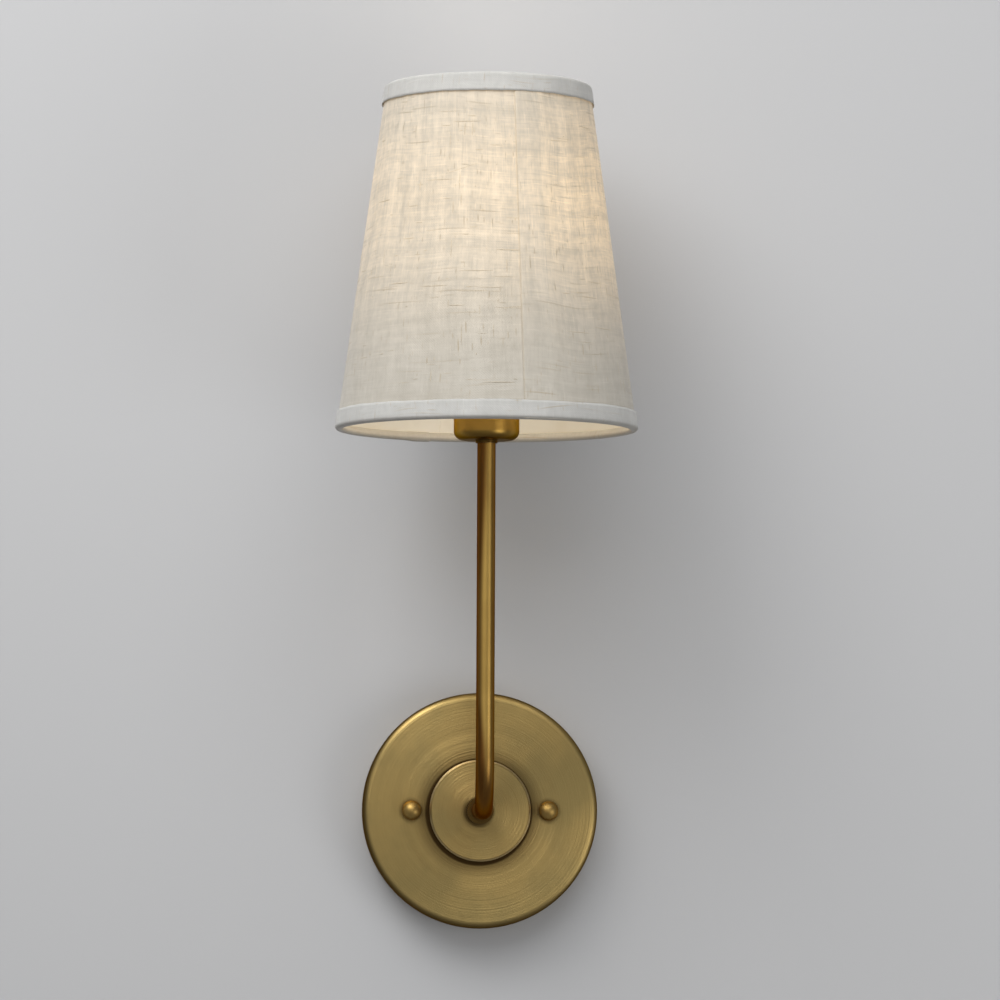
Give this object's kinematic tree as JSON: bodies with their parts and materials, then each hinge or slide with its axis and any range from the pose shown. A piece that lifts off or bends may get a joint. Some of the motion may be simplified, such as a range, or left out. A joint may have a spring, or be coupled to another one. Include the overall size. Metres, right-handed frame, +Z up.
{
  "type": "fabric shade wall light",
  "caption": "Wall light with a round brass backplate, a bent tube arm and an upright tapered linen drum shade round a screw-in lamp, held to a wall box by a slotted crossbar.",
  "frame": {"origin": "centre of the crossbar's screw slots, on the wall face of the backplate", "axes": "+X to the right as seen from the room, +Y into the wall, +Z up along the lamp and shade"},
  "size_m": [0.152, 0.176, 0.4223],
  "materials": {
    "antique_brass": "satin, darkened by age",
    "zinc_steel": "zinc plated",
    "green_steel": "green",
    "bare_brass": "bright",
    "black_phenolic": "satin moulded",
    "white_plastic": "matt",
    "orange_plastic": "matt",
    "green_lead": "satin",
    "black_lead": "satin",
    "white_lead": "satin",
    "porcelain": "glazed",
    "white_wire": "white, satin",
    "linen": "slubbed weave",
    "linen_tape": "slubbed weave",
    "styrene_liner": "matt, translucent",
    "lamp_metal": "nickel plated",
    "black_glass": "gloss",
    "lamp_plastic": "white",
    "circuit_board": "green",
    "led_aluminium": "white faced",
    "led_chip": "yellow phosphor",
    "lamp_dome": "frosted, lit"
  },
  "bodies": {
    "fixture": {"backplate": "antique_brass", "centre_disc": "antique_brass", "arm_root_collar": "antique_brass", "arm_tube": "antique_brass", "arm_lock_washer": "zinc_steel", "arm_lock_nut": "zinc_steel", "ground_lug": "zinc_steel", "lead_bushing": "white_plastic", "crossbar": "zinc_steel", "mounting_studs": "zinc_steel", "stud_nuts": "zinc_steel", "ground_screw": "green_steel", "ground_lead": "green_lead", "live_lead": "black_lead", "neutral_lead": "white_lead", "wire_connectors": "orange_plastic", "neck_collar": "antique_brass", "socket_cup": "antique_brass", "cup_nut": "zinc_steel", "socket_cap": "black_phenolic", "socket_shell": "black_phenolic", "socket_insert": "porcelain", "screw_shell": "bare_brass", "centre_contact": "bare_brass", "terminal_screws": "bare_brass"},
    "shade": {"fitter_ring": "white_wire", "shade_spokes": "white_wire", "bottom_ring_wire": "white_wire", "top_ring_wire": "white_wire", "linen_cover": "linen", "shade_liner": "styrene_liner", "bottom_trim": "linen_tape", "top_trim": "linen_tape"},
    "shade_nut": {"shade_ring_nut": "black_phenolic"},
    "left_knob": {"ball_knob_left": "antique_brass"},
    "right_knob": {"ball_knob_right": "antique_brass"},
    "bulb_tip": {"bulb_tip_contact": "lamp_metal"},
    "bulb": {"bulb_insulator": "black_glass", "bulb_base_shell": "lamp_metal", "bulb_housing": "lamp_plastic", "bulb_driver_board": "circuit_board", "bulb_led_board": "led_aluminium", "bulb_led_chips": "led_chip", "bulb_dome": "lamp_dome"}
  },
  "joints": [
    {"name": "shade_turn", "type": "hinge", "parent": "fixture", "child": "shade", "pos_m": [0, -0.1, 0.2107], "axis": [0, 0, 1], "continuous": true},
    {"name": "shade_nut_travel", "type": "slide", "parent": "fixture", "child": "shade_nut", "axis": [0, 0, 1], "range_m": [0, 0.017]},
    {"name": "left_knob_travel", "type": "slide", "parent": "fixture", "child": "left_knob", "axis": [0, -1, 0], "range_m": [0, 0.007]},
    {"name": "right_knob_travel", "type": "slide", "parent": "fixture", "child": "right_knob", "axis": [0, -1, 0], "range_m": [0, 0.007]},
    {"name": "bulb_rise", "type": "slide", "parent": "fixture", "child": "bulb_tip", "axis": [0, 0, 1], "range_m": [0, 0.0146]},
    {"name": "bulb_turn", "type": "hinge", "parent": "bulb_tip", "child": "bulb", "pos_m": [0, -0.1, 0.2218], "axis": [0, 0, 1], "range_deg": [0, 1440]}
  ],
  "couplings": [
    {"joint": "bulb_rise", "follows": "bulb_turn", "m_per_rad": 0.00057773}
  ]
}
